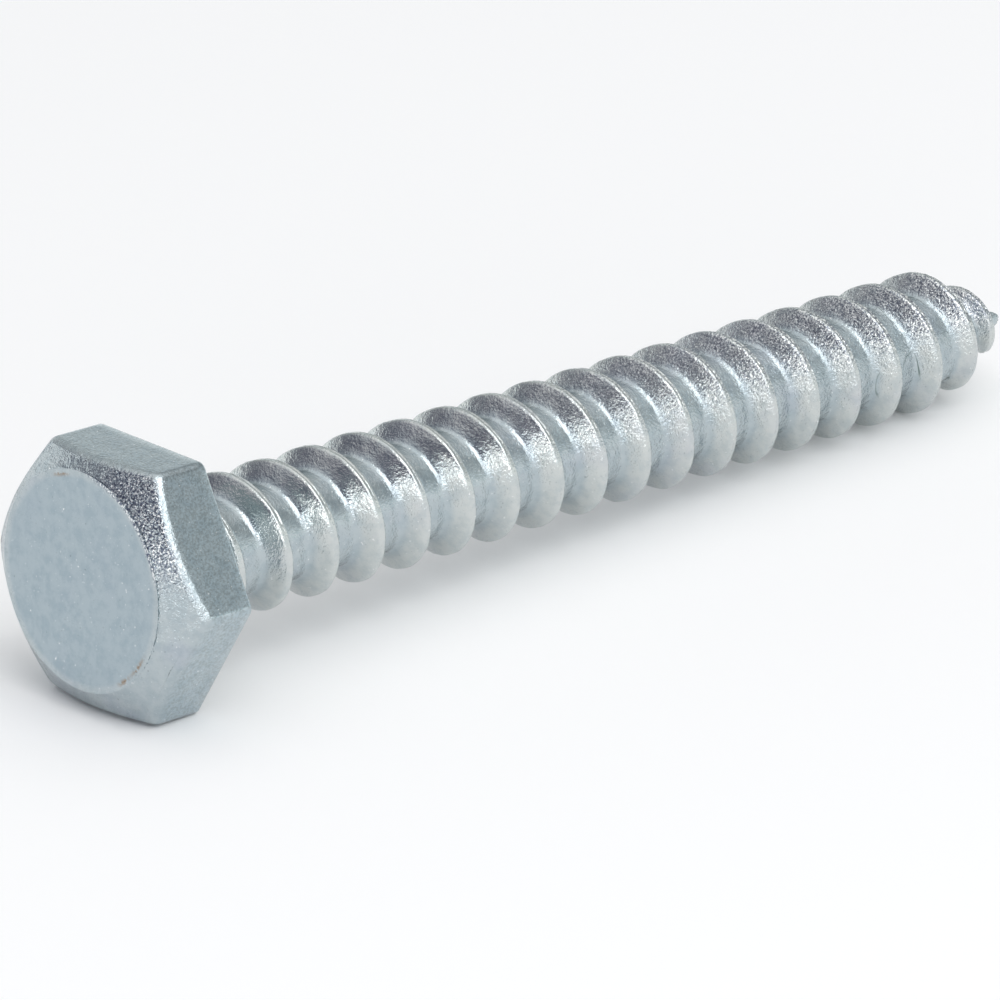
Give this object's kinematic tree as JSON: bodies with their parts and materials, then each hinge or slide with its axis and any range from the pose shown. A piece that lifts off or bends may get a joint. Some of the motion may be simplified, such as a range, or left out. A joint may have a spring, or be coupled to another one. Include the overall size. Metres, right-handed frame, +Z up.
{
  "type": "hex lag screw",
  "caption": "Zinc-plated hex-head lag screw, threaded from the head to its gimlet point, lying on its side.",
  "frame": {"origin": "centre of the footprint, on the surface that the screw lies on", "axes": "+X from the head towards the point, +Z up; the screw's own axis leans about 3 degrees down towards the point, as it lies at rest"},
  "size_m": [0.0536, 0.0122, 0.0107],
  "materials": {
    "zinc_steel": "bright zinc plating, bluish silver, satin with fine scratches and specks"
  },
  "bodies": {
    "root": {"lag_screw": "zinc_steel"}
  },
  "joints": []
}
